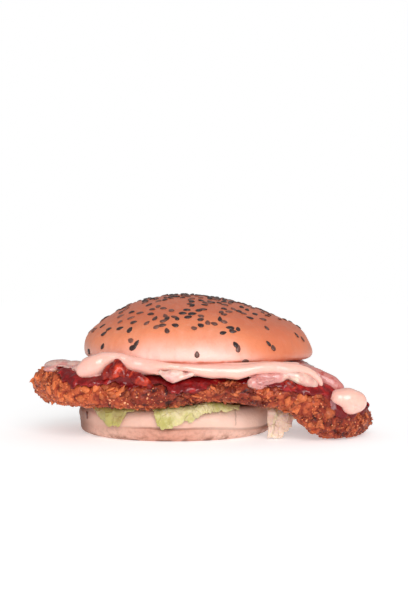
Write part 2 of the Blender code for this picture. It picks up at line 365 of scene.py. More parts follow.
def lumps(place, size, seed=0.0):
    """Rounded lumps of that size side by side: 1 on top of a lump, about 0 in the creases."""
    near = noise.voronoi(place / size + Vector((seed, seed, seed)))[0][0]
    return max(1.0 - near * near, 0.0)


def soft(place, size, seed=0.0):
    """Slow soft noise of that size, from about -1 to 1."""
    return noise.noise(place / size + Vector((seed, -seed, seed)))


def warped(place, size, far):
    """The place, moved by up to about `far` by noise of that size."""
    return place + Vector([soft(place, size, seed) for seed in (9.3, -1.5, -7.9)]) * far


def ease(value, low, high):
    """0 below low, 1 above high and smooth between."""
    part = min(max((value - low) / (high - low), 0.0), 1.0)
    return part * part * (3 - 2 * part)


def copied(*nodes):
    """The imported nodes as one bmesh, with their loose triangles merged."""
    shape = bmesh.new()
    for node in nodes:
        shape.from_mesh(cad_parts[node].data)
    bmesh.ops.remove_doubles(shape, verts=shape.verts, dist=0.01 * MM)
    return shape


def skinned(shape, skin, rounds=2):
    """The closed shapes in a bmesh, run together under one skin of small even faces and smoothed."""
    rough = bpy.data.meshes.new("rough")
    shape.to_mesh(rough)
    shape.free()
    blank = bpy.data.objects.new("blank", rough)
    bpy.context.scene.collection.objects.link(blank)
    over = blank.modifiers.new("skin", "REMESH")
    over.mode = "VOXEL"
    over.voxel_size = skin
    over.use_smooth_shade = True
    if rounds:
        smooth = blank.modifiers.new("smooth", "SMOOTH")
        smooth.factor = 0.5
        smooth.iterations = rounds
    finished = blank.evaluated_get(bpy.context.evaluated_depsgraph_get())
    mesh = bpy.data.meshes.new_from_object(finished)
    bpy.data.objects.remove(blank)
    bpy.data.meshes.remove(rough)
    if not mesh.polygons:
        raise RuntimeError("a skin came out empty")
    return mesh


def pressed(mesh, push, floor=0.0):
    """Moves each point along its normal by push(place, normal), in millimetres, never below the floor,
    and keeps how far in the mesh as `raised`."""
    normals = [normal.vector.copy() for normal in mesh.vertex_normals]
    raised = mesh.attributes.new("raised", "FLOAT", "POINT")
    far = []
    for vertex, normal in zip(mesh.vertices, normals):
        distance = push(vertex.co / MM, normal)
        vertex.co += normal * distance * MM
        vertex.co.z = max(vertex.co.z, floor)
        far.append(distance)
    raised.data.foreach_set("value", far)
    mesh.update()
    return mesh


def settled(mesh):
    """Lets the fillet and what lies on it settle: lower at the back of either end, and clear of the heel in
    front."""
    for vertex in mesh.vertices:
        x, y, z = vertex.co / MM
        back = ease(x, 56, 80) * ease(y, -40, -10)
        under = math.exp(-(((x - 18) / 19) ** 2)) * ease(-y, 30, 46) * ease(z, 26, 17)
        far_left = ease(-x, 34, 50) * ease(y, -34, 10)
        rest = ease(x, 52, 66) * ease(z, 12, 3)
        vertex.co.z = (z * (1 - 0.2 * back - 0.13 * far_left) + 4.2 * under - 0.9 * rest) * MM
        vertex.co.x = (x - 1.4 * ease(x, 74, 92) + 1.5 * ease(-x, 48, 64)) * MM
    mesh.update()
    return mesh


def served(name, mesh, material, slot, *nodes):
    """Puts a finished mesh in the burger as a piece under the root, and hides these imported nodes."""
    mesh.name = name
    mesh.materials.clear()
    mesh.materials.append(material)
    mesh.shade_smooth()
    piece = bpy.data.objects.new(name, mesh)
    bpy.context.scene.collection.objects.link(piece)
    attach(piece, "root")
    if nodes:
        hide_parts(*nodes)
    return piece


def surface(*names):
    """A tree of the pieces' faces, to find spots on them."""
    bm = bmesh.new()
    for name in names:
        bm.from_mesh(bpy.data.objects[name].data)
    tree = BVHTree.FromBMesh(bm)
    bm.free()
    return tree


def surface_of_nodes(*nodes):
    """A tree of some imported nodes' faces."""
    bm = copied(*nodes)
    tree = BVHTree.FromBMesh(bm)
    bm.free()
    return tree


def from_front(tree, x, z):
    """The spot in front at x and z millimetres, and its normal."""
    spot, normal, _, _ = tree.ray_cast(Vector((x * MM, -0.3, z * MM)), Vector((0, 1, 0)))
    if spot is None:
        raise RuntimeError(f"nothing in front at {x}, {z}")
    return spot, normal


def seated(spot, normal, turn, size, sink=0.0):
    """Where to put a shape that lies on a surface: turned about its normal, and sized along, across, up."""
    upright = normal.to_track_quat("Z", "Y").to_matrix().to_4x4()
    return (
        Matrix.Translation(spot - normal * sink)
        @ upright
        @ Matrix.Rotation(turn, 4, "Z")
        @ Matrix.Diagonal((*size, 1.0))
    )


def heaped(places):
    """One mesh with a copy of a shape at each place, from (shape, matrix) pairs."""
    heap = bmesh.new()
    for shape, place in places:
        bit = shape.copy()
        bit.transform(place)
        heap.from_mesh(bit)
        bpy.data.meshes.remove(bit)
    mesh = bpy.data.meshes.new("heap")
    heap.to_mesh(mesh)
    heap.free()
    return mesh


def ball(fineness, bend=None):
    """A small closed shape of radius 1: a ball of triangles, with bend(place) giving each point's new place."""
    bm = bmesh.new()
    bmesh.ops.create_icosphere(bm, subdivisions=fineness, radius=1.0)
    if bend:
        for vertex in bm.verts:
            vertex.co = bend(vertex.co.copy())
    mesh = bpy.data.meshes.new("ball")
    bm.to_mesh(mesh)
    bm.free()
    return mesh


def craggy_shapes(dice, kinds, fineness, rough):
    """Several craggy shapes of radius about 1."""
    shapes = []
    for _ in range(kinds):
        away = Vector([dice.uniform(-50, 50) for _ in range(3)])
        shapes.append(
            ball(fineness, lambda place, away=away: place * (1 + rough * noise.fractal(place * 1.6 + away, 0.7, 2.0, 3)))
        )
    return shapes


def blob(x, y, z, across, deep=None, high=None):
    """A round soft blob for a heap, at a place and with radii in millimetres."""
    sized = Matrix.Diagonal((across * MM, (deep or across) * MM, (high or across) * MM, 1.0))
    return BALL, Matrix.Translation(Vector((x, y, z)) * MM) @ sized


def bead(*knots, step=0.8):
    """The blobs of a squeezed bead along knots of x, y, z and radius in millimetres."""
    blobs = []
    for first, last in zip(knots, knots[1:]):
        start, end = Vector(first), Vector(last)
        steps = max(int((end - start).xyz.length / step), 1)
        blobs += [blob(*start.lerp(end, index / steps)) for index in range(steps + 1)]
    return blobs


def run_together(blobs, skin, rounds, *meshes):
    """The blobs, and other closed meshes, run together under one skin."""
    shape = bmesh.new()
    shape.from_mesh(heaped(blobs))
    for mesh in meshes:
        shape.from_mesh(mesh)
    return skinned(shape, skin, rounds)


BALL = ball(3)


# Bun


def crust_finish(settings):
    finish = Finish("baked_crust")
    drift = finish.clouds(26, 2.0) * 11 + finish.clouds(7, 3.0) * 3
    # The pale band rises higher at the front centre: partly the crust's own pale colour, partly painted light where the
    # front light falls on it.
    front = finish.rise(finish.deep, 0.0, -46.0)
    middle = finish.rise(finish.vectors("ABSOLUTE", finish.across - 6.0), 44.0, 4.0)
    level = finish.height + drift - front * middle * 6
    # Baked colour reaches lower on the right: partly a deeper bake, partly painted shade on the side turned from the
    # light.
    level = level + finish.rise(finish.across, 10.0, 44.0) * 3.5
    low = finish.rise(level, 39.0, 52.0)
    high = finish.rise(level, 49.0, 62.0)
    base = finish.blend(low, settings.pale, settings.golden)
    base = finish.blend(high, base, settings.baked)
    pores = finish.clouds(0.8, 2.0, 0.7)
    base = finish.blend(finish.rise(pores, 0.62, 0.8) * 0.18, base, settings.baked)
    streaks = finish.clouds(3.0, 3.0, 0.6, place=finish.stretched(1.0, 1.0, 0.3))
    base = finish.blend(finish.rise(streaks, 0.5, 0.75) * 0.12, base, settings.pale)
    base = finish.blend(finish.rise(streaks, 0.5, 0.3) * 0.16, base, settings.baked)
    lip = finish.rise(finish.height + finish.clouds(6, 2.0) * 1.6, 37.2, 36.2)
    base = finish.blend(lip * finish.rise(finish.clouds(8, 2.0), 0.35, 0.55) * 0.9, base, settings.baked)
    # Painted shade over the right side, drawn towards the baked colour; partly a deeper bake too.
    base = finish.blend(finish.rise(finish.across, 26, 54) * 0.5, base, settings.baked)
    wrinkles = finish.clouds(3.2, 4.0, 0.6, 0.6)
    normal = finish.bump(wrinkles * 0.6 + pores * 0.25, 0.35)
    roughness = 0.36 + wrinkles * 0.16
    return finish.shine(base, roughness, normal, coat_weight=0.12, coat_roughness=0.3, subsurface_weight=0.12,
                        subsurface_radius=(1.0, 0.5, 0.3), subsurface_scale=1.5 * MM)


class BURGER_OT_crown(bpy.types.Operator):
    """Makes the smooth baked crown"""

    bl_idname = "burger.crown"
    bl_label = "Crown"

    def execute(self, context):
        settings = context.scene.burger.crown
        mesh = skinned(copied("bun_crown"), settings.skin, 16)
        depth = settings.dents / MM

        def push(place, normal):
            shoulder = 1.4 * ease(place.x, 34, 56) * math.exp(-(((place.z - 47) / 7) ** 2))
            shoulder -= 1.2 * ease(-place.x, 8, 28) * math.exp(-(((place.z - 53) / 7) ** 2))
            return depth * (soft(place, 17) + 0.4 * soft(place, 6)) + 0.25 + shoulder

        pressed(mesh, push)
        served("crown_crust", mesh, crust_finish(settings), "baked_bun", "bun_crown")
        return {"FINISHED"}


def crease_drop(x):
    """How much lower the heel's crease runs at x, in millimetres."""
    return 0.3 + 2.0 * ease(x, 12, 42)


def heel_finish(settings):
    finish = Finish("soft_heel")
    wave = (finish.clouds(14, 2.0) - 0.5) * 1.6
    level = finish.height - settings.crease / MM + wave + 0.3 + finish.rise(finish.across, 12, 42) * 2.0
    fine = finish.clouds(0.9, 3.0, 0.7)
    low = finish.blend(finish.rise(finish.across, -6, -30) * 0.8, settings.crust, settings.crumb)
    base = finish.blend(finish.rise(level, -0.3, 0.4), low, settings.crumb)
    line = finish.rise(level * level, 0.5, 0.02) * finish.rise(finish.across, -30, -6)
    base = finish.blend(line * 0.6, base, settings.scorched_and_shade)
    # Painted light: the heel's right side paled, against the shade that the fillet's overhang throws there.
    base = finish.blend(finish.rise(finish.across, 2, 30) * 0.45, base, settings.painted_light_tone)
    mottle = finish.rise(finish.clouds(2.2, 4.0, 0.65), 0.4, 0.7) * finish.rise(level, 0.5, -2.0)
    base = finish.blend(mottle * 0.3, base, settings.scorched_and_shade)
    crack = finish.across - 27.5 + (finish.clouds(2.0, 2.0) - 0.5) * 1.6
    crack = finish.rise(crack * crack, 0.12, 0.0) * finish.rise(finish.height, 6.0, 7.0) * finish.rise(finish.deep, 0, -20)
    base = finish.blend(crack * 0.35, base, settings.scorched_and_shade)
    spots = finish.rise(finish.clouds(7, 3.0, 0.6), 0.46, 0.6) * finish.rise(finish.height, 3.4, 0.8)
    base = finish.blend(spots * 0.8, base, settings.scorched_and_shade)
    # Painted shade: the far left end darkened towards the scorched colour, where the heel turns from the light and the
    # board shades it.
    base = finish.blend(finish.rise(finish.across, -35, -43) * 0.8, base, settings.scorched_and_shade)
    normal = finish.bump(fine * 0.5 + finish.clouds(3.0, 4.0) * 0.8, 0.35)
    return finish.shine(base, 0.55 + fine * 0.1, normal, subsurface_weight=0.12,
                        subsurface_radius=(1.0, 0.5, 0.3), subsurface_scale=1.5 * MM)


class BURGER_OT_heel(bpy.types.Operator):
    """Makes the heel, with the crease where its crumb meets its crust"""

    bl_idname = "burger.heel"
    bl_label = "Heel"

    def execute(self, context):
        settings = context.scene.burger.heel
        mesh = skinned(copied("bun_heel"), settings.skin, 8)
        crease = settings.crease / MM
        for vertex in mesh.vertices:
            height = vertex.co.z / MM
            share_down = min(height / crease, (HEEL_HIGH[2] / MM - height) / (HEEL_HIGH[2] / MM - crease))
            vertex.co.z -= crease_drop(vertex.co.x / MM) * max(share_down, 0) * MM

        def push(place, normal):
            wave = (soft(place, 14) * 0.5) * 1.2
            off = place.z - crease + wave + crease_drop(place.x)
            groove = math.exp(-(off**2) / 0.35) * ease(place.x, -30, -6)
            side = 1 - abs(normal.z)
            left = ease(-place.x, 10, 32)
            fill = left * (0.5 * math.exp(-(off**2) / 0.8) - 0.5 * math.exp(-(((off + 2.6) / 2.0) ** 2)))
            return side * (0.3 * soft(place, 11) - 0.35 * groove + fill)

        pressed(mesh, push)
        served("heel_crust", mesh, heel_finish(settings), "pale_bun", "bun_heel")
        return {"FINISHED"}


def seed_finish(settings):
    finish = Finish("sesame")
    kind = finish.each()
    base = finish.blend(finish.rise(kind, 0.2, 1.0) * 0.8, settings.dark, settings.brown)
    patch = finish.clouds(0.9, 2.0)
    base = finish.blend(finish.rise(patch, 0.5, 0.75) * 0.35, base, settings.brown)
    return finish.shine(base, 0.34, finish.bump(finish.clouds(0.35, 2.0), 0.08))


# Seeds on the front of the crown: across, height and turn.
FRONT_SEEDS = (
    (-18.5, 44.6, 160), (-15.8, 43.4, 60), (-17.2, 41.6, 20), (10.6, 39.0, 90), (27.3, 43.0, 110),
    (28.4, 41.2, 70), (42.0, 43.0, 120), (44.0, 41.2, 80), (31.6, 35.8, 5), (-38.6, 38.6, 150),
    (-31.4, 41.6, 80), (55.5, 46.0, 80), (58.5, 44.0, 100), (-31.0, 47.0, 70),
    (-29.0, 49.0, 30), (-32.5, 50.0, 60), (-36.5, 48.0, 80), (-23.5, 49.5, 20), (-19.0, 49.0, 80),
    (-2.5, 49.0, 110), (9.5, 50.0, 0), (22.0, 48.0, 10), (26.0, 48.5, 0), (28.5, 49.5, 80),
    (25.0, 50.0, 170), (41.5, 49.5, 100), (-7.0, 50.5, 40), (-4.5, 51.2, 10), (1.0, 51.2, 160),
    (12.0, 51.2, 150), (15.2, 52.2, 90), (18.0, 51.8, 150), (-24.0, 52.2, 30), (-17.5, 52.2, 20),
    (-11.5, 52.0, 60), (-24.0, 54.5, 40), (-19.0, 54.0, 40), (-8.0, 54.0, 100), (-3.5, 55.0, 120),
    (-2.6, 54.0, 60), (-4.0, 53.0, 20), (0.6, 54.6, 150), (1.8, 54.0, 100), (6.6, 54.6, 20),
    (12.2, 55.0, 150), (12.2, 53.6, 20), (20.6, 53.6, 90), (22.4, 52.5, 160), (34.0, 54.0, 130),
    (40.0, 53.2, 140), (42.4, 54.6, 140), (48.4, 52.8, 150), (-19.0, 56.4, 20), (-15.0, 56.2, 20),
    (-10.0, 55.8, 5), (-9.6, 57.8, 10), (-4.5, 58.2, 0), (-1.0, 57.4, 150), (6.0, 57.6, 0),
    (4.2, 56.2, 0), (8.4, 56.0, 10), (11.4, 57.4, 20), (13.2, 57.8, 0), (22.6, 58.0, 150),
    (22.6, 55.6, 10), (21.4, 56.6, 30), (24.8, 56.7, 0), (27.0, 57.6, 120), (29.4, 56.7, 150),
    (31.6, 55.8, 150), (36.8, 55.4, 0),
)


class BURGER_OT_seeds(bpy.types.Operator):
    """Strews sesame seeds over the crown, close together on top and far apart lower down"""

    bl_idname = "burger.seeds"
    bl_label = "Sesame seeds"

    def execute(self, context):
        settings = context.scene.burger.seeds
        half = (settings.length / 2, settings.width / 2, settings.thickness / 2)
        drop = ball(2, lambda place: Vector((place.x, place.y * (1 - 0.32 * place.x - 0.2 * place.x**2), place.z)))
        crust = surface("crown_crust")
        dice = random.Random(11)
        places = []
        taken = []

        def lay(spot, normal, turn):
            tilt = Vector((dice.gauss(0, 0.12), dice.gauss(0, 0.12), dice.gauss(0, 0.12)))
            size = [part * dice.uniform(0.86, 1.12) for part in half]
            places.append((drop, seated(spot, (normal + tilt).normalized(), turn, size, -0.15 * half[2])))
            taken.append(spot)

        for x, z, turn in FRONT_SEEDS:
            spot, normal = from_front(crust, x, z)
            lay(spot, normal, math.radians(turn))
        middle = Vector((11.5, 0, 40)) * MM
        while len(places) < settings.strewn + len(FRONT_SEEDS):
            out = Vector((dice.gauss(0, 1), dice.gauss(0, 1), abs(dice.gauss(0, 1)))).normalized()
            spot, normal, _, _ = crust.ray_cast(middle, out)
            if spot is None or dice.random() > ease(spot.z / MM, 43, 56):
                continue
            if normal.y < -0.25 and spot.z < 58.5 * MM:
                continue
            if any((spot - other).length < 2.1 * MM for other in taken):
                continue
            lay(spot, normal if normal.z > 0 else -normal, dice.uniform(0, math.tau))
        heel = surface("heel_crust")
        spot, normal = from_front(heel, -39.6, 9.6)
        lay(spot, normal, math.radians(90))
        served("sesame_seeds", heaped(places), seed_finish(settings), "baked_bun")
        return {"FINISHED"}


# Fillet


def crispness_and_shade(finish):
    """How crisp and orange the crumb is at each place, about 0 to 1: it is crispest on the left and darker at the
    folded end, and darker in the middle, which is painted shade where the coat turns down under the overhang."""
    patch = finish.rise(finish.clouds(10, 3.0, 0.6), 0.36, 0.66)
    left = finish.rise(finish.across, -22, -42) * 0.35 + finish.rise(finish.across, -42, -58) * 0.25
    # Painted shade: the middle of the coat made darker, where it faces down in the shadow of the fillet's overhang.
    middle = finish.rise(finish.across, -18, -4) * finish.rise(finish.across, 44, 34) * 0.3
    end = finish.rise(finish.across, 68, 78) * 0.25
    return patch + left - middle - end


def coat_finish(settings):
    finish = Finish("fried_coat")
    raised = finish.attribute("raised")
    fine = finish.clouds(1.1, 4.0, 0.7)
    level = raised + 0.55 + crispness_and_shade(finish) * 0.5 + (fine - 0.5) * 0.7
    # The crevices, where raised is low, are painted shade in the dark colour; brown lies between and golden on the
    # raised crumb.
    base = finish.blend(finish.rise(level, -0.1, 0.5), settings.dark, settings.brown)
    base = finish.blend(finish.rise(level, 0.5, 1.2), base, settings.golden)
    normal = finish.bump(fine, 0.5, finish.bump(finish.cells(0.7), 0.25))
    return finish.shine(base, 0.42 + fine * 0.2, normal, coat_weight=0.22, coat_roughness=0.14, specular_ior_level=0.2)


class BURGER_OT_fillet(bpy.types.Operator):
    """Makes the fillet's craggy coat of crumb"""

    bl_idname = "burger.fillet"
    bl_label = "Fillet"

    def execute(self, context):
        settings = context.scene.burger.fillet
        mesh = skinned(copied("chicken_fillet"), settings.skin, 5)
        lump, depth = settings.lump / MM, settings.depth / MM

        def push(place, normal):
            bent = warped(place, 6.0, 2.5)
            coarse = lumps(bent, lump)
            middling = lumps(bent, lump * 0.45, 5.0)
            small = noise.fractal(place / 1.3, 0.8, 2.0, 3)
            return depth * (0.8 * coarse + 0.45 * middling - 0.45) + 0.28 * small - 0.75

        pressed(settled(mesh), push, 0.15 * MM)
        served("crumb_coat", mesh, coat_finish(settings), "crumb", "chicken_fillet")
        return {"FINISHED"}


def flake_finish(settings, name, tone, pale=0.0):
    finish = Finish(name)
    kind = finish.each()
    fine = finish.clouds(0.9, 4.0, 0.7)
    level = kind * 0.9 + crispness_and_shade(finish) * 0.5 + (fine - 0.5) * 1.2 + tone
    base = finish.blend(level, settings.deep, settings.light)
    # A few grains, and more of them in a patch on the left, turn pale: partly pale crumb, partly painted glints.
    pale_grains_and_glints = finish.rise(kind, 0.9, 0.98) * pale + finish.near(-23, 19, 8) * finish.rise(kind, 0.6, 0.9) * pale
    base = finish.blend(pale_grains_and_glints, base, settings.pale)
    normal = finish.bump(fine, 0.35)
    return finish.shine(base, 0.4 + fine * 0.2, normal, coat_weight=0.2, coat_roughness=0.15, specular_ior_level=0.2)


# Large flakes in front: across, height, length, width, turn.
LARGE_FLAKES = (
    (-38.5, 24.0, 8.0, 3.6, -22), (-33.0, 24.6, 4.4, 3.0, 60), (-28.4, 25.6, 5.6, 3.2, 62),
    (-22.6, 23.0, 6.4, 3.0, 48), (-25.4, 21.4, 4.6, 3.4, 30), (-50.6, 21.4, 6.2, 2.6, -38),
    (-45.6, 19.4, 5.6, 2.6, -24), (-52.6, 24.6, 4.6, 2.4, -60), (-54.8, 22.0, 4.6, 3.0, -64),
    (-40.0, 19.6, 5.0, 2.8, -10), (-31.0, 20.4, 4.6, 2.6, 15), (55.6, 20.0, 5.8, 4.4, 30),
    (49.6, 18.4, 5.2, 2.6, 68), (59.6, 19.4, 4.0, 3.0, 10), (68.0, 13.0, 6.4, 5.6, 50),
    (70.4, 17.4, 3.4, 2.8, 20), (84.0, 7.4, 4.6, 3.8, 20), (63.0, 21.0, 4.4, 3.0, -20),
)


class BURGER_OT_flakes(bpy.types.Operator):
    """Strews crumb over the fillet's coat: large flakes, small flakes and grains"""

    bl_idname = "burger.flakes"
    bl_label = "Crumb flakes"

    def execute(self, context):
        settings = context.scene.burger.flakes
        coat = bpy.data.objects["crumb_coat"].data
        coat_tree = surface("crumb_coat")
        covered = surface("sauce_layer")
        dice = random.Random(5)
        faces = coat.polygons
        flakes = craggy_shapes(dice, 14, 2, 0.5)
        places = []

        def lay(shape, spot, normal, turn, size, tilt):
            lean = Vector((dice.gauss(0, tilt), dice.gauss(0, tilt), dice.gauss(0, tilt)))
            place = seated(spot, (normal + lean).normalized(), turn, size, 0.25 * size[2])
            if spot.z > max(size) * 1.4:
                places.append((shape, place))

        for x, z, long, wide, turn in LARGE_FLAKES:
            spot, normal = from_front(coat_tree, x, z)
            size = (long / 2 * MM, wide / 2 * MM, min(long, wide) / 3.2 * MM)
            lay(dice.choice(flakes), spot, normal, math.radians(turn), size, 0.15)
        served("crumb_shards", heaped(places), flake_finish(settings, "crisp_shards", 0.0), "crumb")
        places.clear()

        def bare(face):
            """Whether a face of the coat isn't under the sauce."""
            near, _, _, far = covered.find_nearest(face.center)
            return far > 1.7 * MM or (near - face.center).dot(face.normal) < 0.3 * far

        while len(places) < settings.flakes:
            face = dice.choice(faces)
            if not bare(face):
                continue
            if dice.random() > 0.45 + 1.2 * soft(face.center / MM, 8):
                continue
            size = settings.flake / 2 * dice.uniform(0.35, 1.2)
            sizes = (size, size * dice.uniform(0.3, 0.7), size * dice.uniform(0.15, 0.35))
            lay(dice.choice(flakes), face.center, face.normal, dice.uniform(0, math.tau), sizes, 0.32)
        served("crumb_flakes", heaped(places), flake_finish(settings, "crisp_flakes", -0.3), "crumb")
        places.clear()
        grains = craggy_shapes(dice, 12, 1, 0.5)
        while len(places) < settings.grains:
            face = dice.choice(faces)
            if not bare(face):
                continue
            size = settings.grain / 2 * dice.uniform(0.5, 1.3)
            sizes = (size, size * dice.uniform(0.6, 1.0), size * dice.uniform(0.5, 0.8))
            lay(dice.choice(grains), face.center, face.normal, dice.uniform(0, math.tau), sizes, 0.5)
        served("crumb_grains", heaped(places), flake_finish(settings, "crisp_grains", -0.27, 0.7), "crumb")
        return {"FINISHED"}


# Sauce


def sauce_finish(settings):
    finish = Finish("tomato_sauce_wet")
    raised = finish.attribute("raised")
    pulp = finish.clouds(4.5, 4.0, 0.6)
    # Painted shade: the sauce is made darker under the dollop on the folded end.
    level = raised * 0.8 + (pulp - 0.5) * 2.2 + 0.35 - finish.near(78, 12, 12) * 0.7
    base = finish.blend(finish.rise(level, 0.1, 0.9), settings.deep, settings.bright)
    normal = finish.bump(finish.clouds(0.9, 3.0, 0.6), 0.25, finish.bump(finish.clouds(2.6, 2.0), 0.5))
    return finish.shine(base, 0.3 + pulp * 0.12, normal, coat_weight=0.55, coat_roughness=0.05, specular_ior_level=0.1,
                        subsurface_weight=0.2, subsurface_radius=(1.0, 0.2, 0.1), subsurface_scale=1.0 * MM)


def tomato_finish(settings):
    finish = Finish("cooked_tomato")
    flesh = finish.clouds(3.4, 3.0, 0.6) + finish.attribute("raised") * 0.25
    base = finish.blend(finish.rise(flesh, 0.45, 0.78), settings.deep, settings.tomato)
    base = finish.blend(finish.near(-28.0, 31.5, 5.0) * 0.6, base, settings.deep)
    normal = finish.bump(finish.clouds(0.9, 3.0, 0.6), 0.25, finish.bump(finish.clouds(2.2, 2.0), 0.4))
    return finish.shine(base, 0.3, normal, coat_weight=0.5, coat_roughness=0.06, specular_ior_level=0.1,
                        subsurface_weight=0.25, subsurface_radius=(1.0, 0.2, 0.1), subsurface_scale=1.5 * MM)


# Pieces of tomato in the sauce: across, deep, height, length, width, thickness, turn.
TOMATO_PIECES = (
    (-22.4, -50.0, 33.0, 9.0, 4.0, 3.4, -54), (-27.4, -48.6, 31.8, 9.0, 4.0, 3.2, 50),
    (-25.2, -48.4, 30.2, 6.4, 5.4, 2.8, 0), (-24.6, -50.6, 31.8, 6.6, 4.4, 3.0, 84), (-14.6, -52.2, 28.6, 9.4, 4.8, 3.4, -30),
    (-10.6, -51.8, 26.2, 5.0, 3.2, 2.6, -40), (51.0, -50.4, 25.8, 6.0, 3.0, 2.0, -30),
)


# Where the sauce runs furthest down in front: across, height and radius.
SAUCE_RUNS = (
    (-2.5, 26.0, 2.0), (1.5, 25.2, 2.4), (5.0, 24.4, 2.6), (9.0, 24.0, 2.8), (12.6, 25.2, 2.2),
    (-47.0, 27.0, 2.6), (-42.0, 27.0, 2.4), (-38.0, 26.4, 2.2), (49.0, 24.0, 2.4), (54.0, 23.6, 2.6),
    (59.0, 22.4, 2.2), (71.5, 12.6, 2.2), (74.0, 12.0, 2.8), (78.5, 12.0, 2.8), (83.0, 12.6, 2.6), (85.0, 13.6, 2.2),
)


class BURGER_OT_sauce(bpy.types.Operator):
    """Makes the wet tomato sauce, lumpy with pulp, and the pieces of tomato in it"""

    bl_idname = "burger.sauce"
    bl_label = "Tomato sauce"

    def execute(self, context):
        settings = context.scene.burger.sauce
        dice = random.Random(23)
        thin = settled(skinned(copied("tomato_sauce"), settings.skin, 2))
        for vertex in thin.vertices:
            x, y, z = vertex.co / MM
            bared = math.exp(-(((x - 24) / 8) ** 2)) + ease(x, 52, 57) * ease(-x, -72, -68) * ease(-z, -22, -19.5)
            vertex.co.y += 4.0 * MM * bared * ease(-y, 40, 50)
        lids = surface_of_nodes("cheese_left", "cheese_right")
        pulp = craggy_shapes(dice, 8, 2, 0.4)
        places = []
        middle = Vector((CROWN_LOW[0] + CROWN_HIGH[0], CROWN_LOW[1] + CROWN_HIGH[1])) / 2
        while len(places) < settings.lumps:
            face = dice.choice(thin.polygons)
            spot = face.center
            if (spot.xy - middle).length < 38 * MM or face.normal.z < -0.6:
                continue
            if lids.ray_cast(spot, Vector((0, 0, 1)), 5 * MM)[0] is not None:
                continue
            size = settings.lump / 2 * dice.uniform(0.3, 1.0)
            sizes = (size, size * dice.uniform(0.5, 1.0), size * dice.uniform(0.35, 0.7))
            turn = dice.uniform(0, math.tau)
            places.append((dice.choice(pulp), seated(spot, face.normal, turn, sizes, 0.3 * sizes[2])))
        coat = surface("crumb_coat")
        for x, z, radius in SAUCE_RUNS:
            spot, _ = from_front(coat, x, z)
            places.append(blob(*(spot / MM), radius, 1.5, radius * 0.8))
        places += bead((-27.0, -46.5, 30.0, 3.0), (-21.0, -48.5, 29.6, 3.4), (-16.0, -49.5, 28.6, 3.0))
        mesh = run_together(places, settings.skin, 7, thin)

        def push(place, normal):
            covered = lids.ray_cast(place * MM, Vector((0, 0, 1)), 5 * MM)[0] is not None
            return -0.25 if covered else 0.2 * soft(place, 2.2) - 0.1

        pressed(mesh, push)
        served("sauce_layer", mesh, sauce_finish(settings), "tomato", "tomato_sauce")
        shapes = craggy_shapes(dice, 6, 3, 0.3)
        places = []
        for x, y, z, long, wide, thick, turn in TOMATO_PIECES:
            size = (long / 2 * MM, wide / 2 * MM, thick / 2 * MM)
            facing = Vector((x / 160, -1, 0.4)).normalized()
            places.append((dice.choice(shapes), seated(Vector((x, y, z)) * MM, facing, math.radians(turn), size)))
        mesh = pressed(run_together(places, 0.4 * MM, 9), lambda place, normal: 0.35 + 0.25 * soft(place, 2.2))
        served("tomato_pieces", mesh, tomato_finish(settings), "tomato")
        return {"FINISHED"}


# Cheese


def cheese_finish(settings):
    finish = Finish("melted_cheese")
    thin = finish.rise(finish.clouds(7, 3.0), 0.42, 0.62) * 0.7
    strip = finish.rise(finish.deep, -45, -41) * finish.rise(finish.across, 44, 54)
    thin = thin + finish.near(40, 27.0, 9.0) * 0.9 + strip * 0.9
    thin = thin + finish.rise(finish.across, -40, -46) * 0.5 + finish.near(0.5, 29, 5) * 0.6
    base = finish.blend(thin, settings.milky, settings.clear)
    edge = finish.rise(finish.clouds(3.4, 3.0, 0.6), 0.56, 0.66)
    base = finish.blend(edge * (0.25 + strip * 0.6), finish.blend(strip * 0.3, base, settings.stained), settings.stained)
    normal = finish.bump(finish.clouds(2.4, 3.0), 0.3)
    return finish.shine(base, 0.26, normal, coat_weight=0.3, coat_roughness=0.1, subsurface_weight=0.4,
                        subsurface_radius=(1.0, 0.6, 0.4), subsurface_scale=2.5 * MM)


